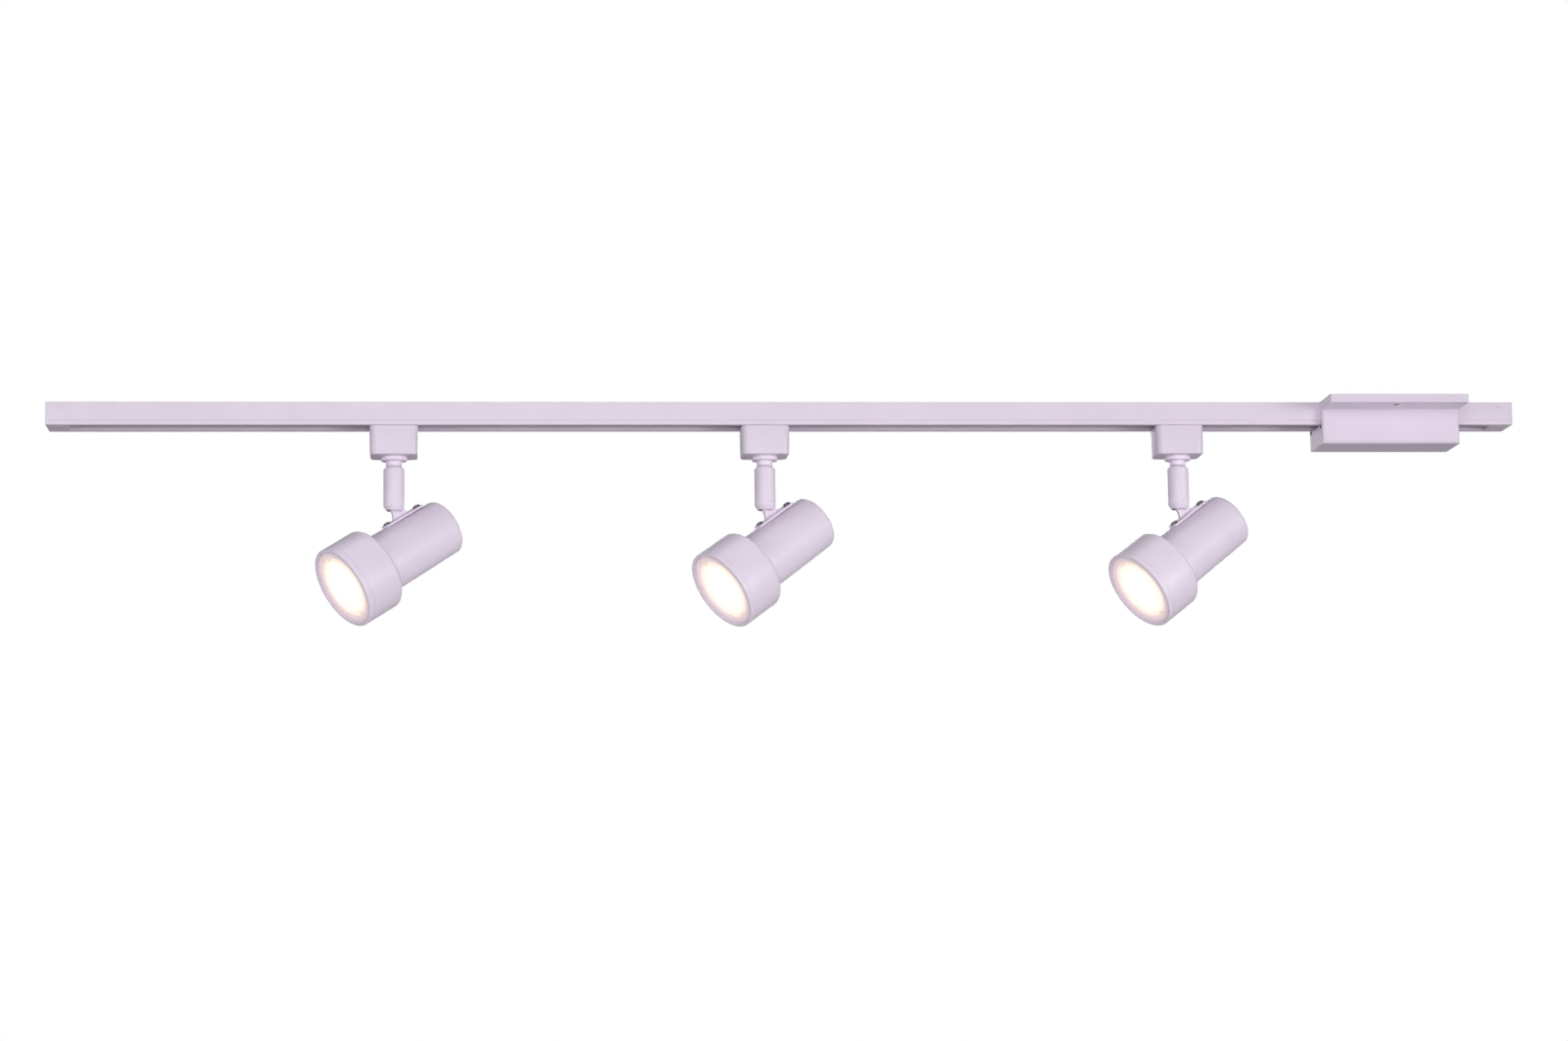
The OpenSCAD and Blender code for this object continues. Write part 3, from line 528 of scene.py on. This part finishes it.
side_reach = [(2, 4), (7, 10), (16, 13), (27, 12)]
for name, x, way, reach, colour in (
        ("live", -13, -1, side_reach, (0.016, 0.016, 0.018)),
        ("neutral", 13, 1, side_reach, (0.74, 0.73, 0.71)),
        ("ground", 0, 1, [(0, 4), (0, 11)], (0.02, 0.20, 0.055))):
    route = through(lead_route(feed_x + x*mm, way, reach), 8)
    rings = np.full(len(route), lead_r)
    add_piece(f"lead_{name}", round_tube(f"lead_{name}", route, rings), "track",
              wire_skin(f"{name}_skin", colour), f"feed_lead_{name}")


# --------------------------------------------------------------- adapter
# A hollow moulded box with a round-cornered plan hangs under the track on a
# black turret that stands up in the slot. Its floor carries the swivel collar.

def outline(corners, steps=5):
    """A closed outline through corners (x, y, radius): a corner with a radius
    becomes an arc tangent to both of its sides."""
    points = []
    for k, (x, y, radius) in enumerate(corners):
        here = np.array((x, y), float)
        if not radius:
            points.append(here[None])
            continue
        back = np.array(corners[k - 1][:2], float) - here
        on = np.array(corners[(k + 1) % len(corners)][:2], float) - here
        back /= np.linalg.norm(back)
        on /= np.linalg.norm(on)
        half = math.acos(float(np.clip(back @ on, -1, 1)))/2
        swing = math.pi - 2*half
        centre = here + (back + on)/np.linalg.norm(back + on)*radius/math.sin(half)
        start = here + back*radius/math.tan(half) - centre
        end = here + on*radius/math.tan(half) - centre
        t = np.linspace(0, 1, steps + 1)[:, None]
        points.append(centre + (start*np.sin((1 - t)*swing) + end*np.sin(t*swing))
                      / math.sin(swing))
    return np.vstack(points)


def plan_loop(length, width, radius, inset, per_corner=10):
    """Places round a rectangle with round corners, drawn in by each inset: an
    array of insets by places by two."""
    turn = np.concatenate([np.linspace(q, q + 90, per_corner) for q in (0, 90, 180, 270)])
    turn = np.radians(turn)
    corner_x = np.repeat([1, -1, -1, 1], per_corner)*(length/2 - radius)
    corner_y = np.repeat([1, 1, -1, -1], per_corner)*(width/2 - radius)
    left = np.maximum(radius - inset, 0.0)[:, None]
    over = np.maximum(inset - radius, 0.0)[:, None]
    x = corner_x - np.sign(corner_x)*over + left*np.cos(turn)
    y = corner_y - np.sign(corner_y)*over + left*np.sin(turn)
    return np.stack([x, y], -1)


def boxed(name, section, length, width, radius, centre):
    """A wall section, as (inset, height) points, carried round a rectangle with
    round corners about a centre: a closed moulding."""
    plan = plan_loop(length, width, radius, section[:, 0])
    height = np.broadcast_to(section[:, 1, None], plan.shape[:2])
    return surface(name, np.dstack([plan, height]) + np.array(centre), wrap_rows=True)


# The case's own section: outer wall with a fine drafted foot, floor out to the
# collar's hole, and the inner wall with the step on which the turret sits.
case_wall, case_deep, case_floor = 2.4*mm, 24*mm, 21.6*mm
case_corner, floor_reach, step_wide = 6*mm, 14.6*mm, 1.4*mm
case_section = outline([
    (0, 0, 0.3*mm), (0.15*mm, -16*mm, 0), (0.35*mm, -case_deep, 0.9*mm),
    (floor_reach, -case_deep, 0), (floor_reach, -case_floor, 0),
    (case_wall, -case_floor, 0.6*mm), (case_wall, -2.4*mm, 0),
    (step_wide, -2.4*mm, 0), (step_wide, 0, 0.2*mm)])


def adapter(n):
    """The case, turret and blades of head n."""
    body = f"head_{n}_adapter"
    low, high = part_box(f"adapter_case_{n}")
    middle = ((low[0] + high[0])/2, 0, high[2])
    case = boxed(f"case_{n}", case_section, high[0] - low[0], high[1] - low[1],
                 case_corner, middle)
    add_piece(f"case_{n}", case, body, moulded_white,
              f"adapter_case_{n}")
    dress(frame["nodes"][f"adapter_turret_{n}"], moulded_black)
    dress(frame["nodes"][f"adapter_contacts_{n}"], rolled_brass)


# ------------------------------------------------------ collar and stem
# A turned collar is spun over inside the case's floor. The stem turns in it: a
# turned tube with a chamfered shoulder, slotted below for the lamp's ear.

joints = {joint["name"]: joint for joint in frame["record"]["behaviour"]["joints"]}


def turned(name, section, place, sides=96):
    """A closed section of (along, radius) points turned about the X axis of a
    4x4 place. A section that starts on the axis closes there by itself."""
    turn = np.linspace(0, 2*math.pi, sides, endpoint=False)
    radius = section[:, 1, None]
    grid = np.stack([np.broadcast_to(section[:, 0, None], (len(section), sides)),
                     radius*np.cos(turn), radius*np.sin(turn)], -1)
    spun = grid @ np.array(place.to_3x3()).T + np.array(place.translation)
    on_axis = section[0, 1] < 1e-9
    return surface(name, spun, wrap_rows=not on_axis)


def upright(n, z):
    """Places a turned section on stem n's axis, with its own X axis straight up
    from height z."""
    x = joints[f"head_{n}_pan"]["pos_m"][0]
    return Matrix.Translation((x, 0, z)) @ Matrix.Rotation(-math.pi/2, 4, "Y")


collar_section = outline([
    (-7.9*mm, 4.05*mm, 0), (5.4*mm, 4.05*mm, 0), (5.4*mm, 8*mm, 0.4*mm),
    (2.4*mm, 8*mm, 0), (2.4*mm, 6*mm, 0), (0, 6*mm, 0), (0, 10.8*mm, 0.5*mm),
    (-3.7*mm, 10.8*mm, 0.9*mm), (-3.7*mm, 6.6*mm, 0.4*mm), (-7.9*mm, 6.6*mm, 0.4*mm)])
pin_section = outline([
    (-8.9*mm, 0, 0), (-8.9*mm, 2*mm, 0.5*mm), (8.9*mm, 2*mm, 0.5*mm), (8.9*mm, 0, 0)])
# The heads' white is the track's coat made lighter: painted light for the brighter light
# falling on the heads.
head_white_painted_light = coated("head_white_painted_light", (0.90, 0.80, 0.935), (0.865, 0.77, 0.90),
                    1100.0, 0.010*mm, 0.36, 0.48)
# The stem's bore gets this dark grey as painted shade, not as a real uncoated finish.
painted_shade_bore = bare_metal("painted_shade_bore", (0.16, 0.15, 0.15), (0.09, 0.08, 0.08), 0.4, 0.6,
                       1500.0)
bore_reach, bore_deep = 6.2*mm, 14*mm


def swivel(n):
    """The collar, stem and rivet of head n; the stem's bore is coloured dark as painted
    shade.
    """
    floor_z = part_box(f"adapter_case_{n}")[0][2]
    collar = turned(f"collar_{n}", collar_section, upright(n, floor_z))
    add_piece(f"collar_{n}", collar, f"head_{n}_adapter", head_white_painted_light,
              f"swivel_collar_{n}")
    stem = machined_copy(f"stem_tube_{n}", f"stem_{n}", f"head_{n}_stem",
                         head_white_painted_light, 0.25*mm)
    tilt = joints[f"head_{n}_tilt"]
    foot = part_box(f"stem_{n}")[0][2] + 0.2*mm

    def inside_stem(x, y, z):
        """Within bore_reach of the stem's axis and bore_deep of its foot."""
        near = np.hypot(x - tilt["pos_m"][0], y) < bore_reach
        return near & (z > foot) & (z < foot + bore_deep)

    paint_shade_inside(stem, painted_shade_bore, inside_stem)
    turn = Vector(tilt["axis"]).to_track_quat("X", "Z").to_matrix().to_4x4()
    across = Matrix.Translation(tilt["pos_m"]) @ turn
    pin = turned(f"rivet_{n}", pin_section, across, 32)
    add_piece(f"rivet_{n}", pin, f"head_{n}_stem", head_white_painted_light,
              f"pivot_pin_{n}")


# ---------------------------------------------------------- tilt bracket
# A pressed plate with an upright ear, coated with the lamp and held to it by
# two dark zinc pan-head screws with a cross recess.

dark_zinc = bare_metal("dark_zinc", (0.34, 0.32, 0.34), (0.19, 0.18, 0.18), 0.3, 0.5,
                       1500.0)
pivot_back = 77.7*mm
plate_from, plate_long, plate_t = 59.9*mm, 38.9*mm, 1.6*mm
plate_drop = 11.2*mm    # from the rivet's axis down to the plate's outer face
screw_in = 3.6*mm
head_r, head_h = 3.3*mm, 1.7*mm
recess_deep, arm_long, arm_half = 1.1*mm, 1.9, 0.36


def lamp_place(n):
    """The lamp's own frame in the row: X runs back from the front rim along the
    lamp's axis, Z is towards the bracket, and the origin is on the rivet."""
    tilt = joints[f"head_{n}_tilt"]
    across, up = Vector(tilt["axis"]), Vector((0, 0, 1))
    dip = math.radians(-tilt["range_deg"][0])
    back = up.cross(across)*math.cos(dip) + up*math.sin(dip)
    turn = Matrix((back, -across, across.cross(back))).transposed().to_4x4()
    return Matrix.Translation(tilt["pos_m"]) @ turn


def screw_mesh(name, places):
    """Pan heads with a cross recess. Height over (radius, turn) is a flattened
    dome, less a recess where the place lies within either arm of the cross."""
    meshes = []
    radius = np.concatenate([np.linspace(0, 0.62, 22), np.linspace(0.66, 1, 10)])
    turn = np.linspace(0, 2*math.pi, 96, endpoint=False)
    r, a = np.meshgrid(radius*head_r, turn, indexing="ij")
    dome = head_h*np.sqrt(np.clip(1 - (r/head_r)**4*0.96, 0, 1))
    x, y = r*np.cos(a + math.pi/4), r*np.sin(a + math.pi/4)
    arm = np.minimum(np.maximum(np.abs(x)/arm_long, np.abs(y)/arm_half),
                     np.maximum(np.abs(y)/arm_long, np.abs(x)/arm_half))/mm
    recess = recess_deep*np.clip((1.12 - arm)/0.3, 0, 1)*np.clip(1.25 - r/(2.0*mm), 0, 1)
    cap = np.stack([r*np.cos(a), r*np.sin(a), dome - recess], -1)
    rim = np.stack([r[-1]*np.cos(a[-1]), r[-1]*np.sin(a[-1]), np.zeros(96)], -1)
    seat = rim*np.array((0, 0, 1))
    head = np.concatenate([cap, rim[None], seat[None]])
    for k, place in enumerate(places):
        grid = head @ np.array(place.to_3x3()).T + np.array(place.translation)
        meshes.append(surface(f"{name}_{k}", grid))
    work = bmesh.new()
    for mesh in meshes:
        work.from_mesh(mesh)
        bpy.data.meshes.remove(mesh)
    joined = bpy.data.meshes.new(name)
    work.to_mesh(joined)
    work.free()
    smooth_to(joined, 40)
    return joined


def bracket(n):
    """The bracket plate and its screws on lamp n."""
    body = f"head_{n}_lamp"
    machined_copy(f"bracket_plate_{n}", f"tilt_bracket_{n}", body,
                  head_white_painted_light, 0.25*mm)
    place = lamp_place(n)
    tops = [place @ Matrix.Translation((depth - pivot_back, 0, -plate_drop))
            for depth in (plate_from + screw_in, plate_from + plate_long - screw_in)]
    heads = screw_mesh(f"pan_heads_{n}", tops)
    add_piece(f"pan_heads_{n}", heads, body, dark_zinc,
              f"bracket_screws_{n}")


# ------------------------------------------------------- barrel and cup
# A drawn barrel with a rounded closed back, and in front of it a wider turned
# cup, shouldered at the rear and lipped at the front. Both are powder coated.

front_r, back_r = 24.7*mm, 23.4*mm
lamp_long, cup_long, cup_r = 111*mm, 36*mm, 35*mm
wall, flange_r = 1.6*mm, 27.85*mm
cup_in_r, lip_r, fit = cup_r - 2*mm, 32*mm, 0.05*mm
plate_seat = front_r - (front_r - back_r)*(plate_from - cup_long)/(lamp_long - cup_long)
pivot_rise = plate_seat + fit + plate_t + plate_drop
barrel_section = outline([
    (cup_long - 4*mm, front_r - wall, 0), (cup_long - 4*mm, flange_r, 0.3*mm),
    (cup_long - 2*mm, flange_r, 0), (cup_long - 2*mm, front_r, 0),
    (cup_long, front_r, 0), (lamp_long, back_r, 3.5*mm), (lamp_long, 0, 0),
    (lamp_long - wall, 0, 0), (lamp_long - wall, back_r - wall, 2.2*mm),
    (cup_long, front_r - wall, 0)], 9)
cup_section = outline([
    (0, lip_r, 0.7*mm), (0, cup_r, 1.2*mm), (4.4*mm, cup_r, 0.1*mm),
    (4.6*mm, cup_r - 0.4*mm, 0.1*mm), (4.9*mm, cup_r - 0.4*mm, 0.1*mm),
    (5.1*mm, cup_r, 0.1*mm), (cup_long, cup_r, 4*mm),
    (cup_long, front_r + fit, 0.3*mm), (cup_long - 2*mm, front_r + fit, 0),
    (cup_long - 2*mm, cup_in_r, 2*mm), (3*mm, cup_in_r, 0), (3*mm, lip_r, 0)], 8)


def lamp_axis(n):
    """Lamp n's axis in the row, with X running back from the front rim."""
    return lamp_place(n) @ Matrix.Translation((-pivot_back, 0, -pivot_rise))


def from_back(section):
    """A section that reaches the axis, started there so that it closes."""
    start = int(np.argmin(section[:, 1]))
    rolled = np.roll(section, -start, axis=0)
    if rolled[1, 1] < 1e-9:
        rolled = np.roll(section, -start - 1, axis=0)
    return rolled


def shell(n):
    """The barrel and the cup of lamp n."""
    body, place = f"head_{n}_lamp", lamp_axis(n)
    back = turned(f"barrel_shell_{n}", from_back(barrel_section), place, 128)
    add_piece(f"barrel_shell_{n}", back, body, head_white_painted_light,
              f"barrel_{n}")
    cup = turned(f"cup_{n}", cup_section, place, 128)
    add_piece(f"cup_{n}", cup, body, head_white_painted_light, f"front_cup_{n}")


# ------------------------------------------------------ lit face and lamp
# Inside the rim a stepped ring surrounds the reflector lamp's frosted face. The
# face is lit warm white; the pale peach glow over the ring is painted light in its
# emission.

def glowing(name, base, stops):
    """A lit surface, or one with painted light on it: emission colour follows the
    piece's own distance from the lamp's axis, kept as an attribute from 0 to 1."""
    material = new_material(name, base, 0.45)
    nodes, link = material.node_tree.nodes, material.node_tree.links.new
    reading = nodes.new("ShaderNodeAttribute")
    reading.attribute_name = "from_axis"
    ramp = nodes.new("ShaderNodeValToRGB")
    while len(ramp.color_ramp.elements) < len(stops):
        ramp.color_ramp.elements.new(0.5)
    for stop, (at, colour) in zip(ramp.color_ramp.elements, stops):
        stop.position = at
        stop.color = (*colour, 1)
    link(reading.outputs["Fac"], ramp.inputs["Fac"])
    shader = nodes["Principled BSDF"]
    link(ramp.outputs["Color"], shader.inputs["Emission Color"])
    shader.inputs["Emission Strength"].default_value = 1.0
    made = put_group(material, skin, Grain=1500.0)
    relief(material, made["Height"], 0.02*mm)
    return material


lit_face = glowing("lit_face", (0.30, 0.28, 0.26), [
    (0.0, (0.94, 0.94, 0.92)), (0.80, (0.93, 0.90, 0.82)), (0.93, (0.88, 0.80, 0.68)),
    (1.0, (0.78, 0.63, 0.54))])
# The ring is no lamp: its emission is painted light, the face's glow spilling over it.
painted_glow_ring = glowing("painted_glow_ring", (0.80, 0.72, 0.78), [
    (0.0, (0.52, 0.38, 0.32)), (0.45, (0.32, 0.22, 0.20)), (1.0, (0.20, 0.14, 0.14))])

bulb_r, ring_in_r, ring_step_r = 25*mm, 25.4*mm, 31.5*mm
ring_out_r = cup_in_r - fit
face_section = outline([
    (1.2*mm, 0, 0), (2.0*mm, 17*mm, 30*mm), (2.6*mm, bulb_r, 0.5*mm),
    (4.2*mm, bulb_r, 0), (4.2*mm, 0, 0)], 8)
ring_section = outline([
    (2.6*mm, ring_in_r, 0.2*mm), (2.0*mm, 26.4*mm, 0.3*mm), (1.9*mm, 28.6*mm, 0.3*mm),
    (1.5*mm, 29.2*mm, 0.3*mm), (1.4*mm, 31.4*mm, 0.3*mm), (3.0*mm, ring_step_r, 0),
    (3.0*mm, ring_out_r, 0), (4.4*mm, ring_out_r, 0.2*mm),
    (4.4*mm, ring_in_r, 0.2*mm)], 4)


def mark_radius(mesh, place, low, high):
    """Stores each vertex's distance from the axis, from 0 at low to 1 at high."""
    places = np.empty(len(mesh.vertices)*3)
    mesh.vertices.foreach_get("co", places)
    own = places.reshape(-1, 3) - np.array(place.translation)
    own = own @ np.array(place.to_3x3())
    distance = np.hypot(own[:, 1], own[:, 2])
    kept = mesh.attributes.new("from_axis", "FLOAT", "POINT")
    kept.data.foreach_set("value", np.clip((distance - low)/(high - low), 0, 1))


fired_ceramic = coated("fired_ceramic", (0.80, 0.77, 0.69), (0.74, 0.70, 0.62),
                       1300.0, 0.02*mm, 0.55, 0.75)
frosted_bulb = coated("frosted_bulb", (0.72, 0.71, 0.70), (0.66, 0.65, 0.64),
                      1500.0, 0.01*mm, 0.25, 0.4)


def lamp(n):
    """The ring, the lit face and the parts behind it in lamp n."""
    body, place = f"head_{n}_lamp", lamp_axis(n)
    ring = turned(f"ring_{n}", ring_section, place, 128)
    mark_radius(ring, place, ring_in_r, ring_step_r)
    add_piece(f"ring_{n}", ring, body, painted_glow_ring, f"retaining_ring_{n}")
    face = turned(f"face_{n}", from_back(face_section), place, 128)
    mark_radius(face, place, 0, bulb_r)
    add_piece(f"face_{n}", face, body, lit_face, f"bulb_lens_{n}")
    dress(frame["nodes"][f"bulb_{n}"], frosted_bulb)
    dress(frame["nodes"][f"lamp_holder_{n}"], fired_ceramic)
    dress(frame["nodes"][f"holder_strap_{n}"], zinc)


for n in (1, 2, 3):
    adapter(n)
    swivel(n)
    bracket(n)
    shell(n)
    lamp(n)
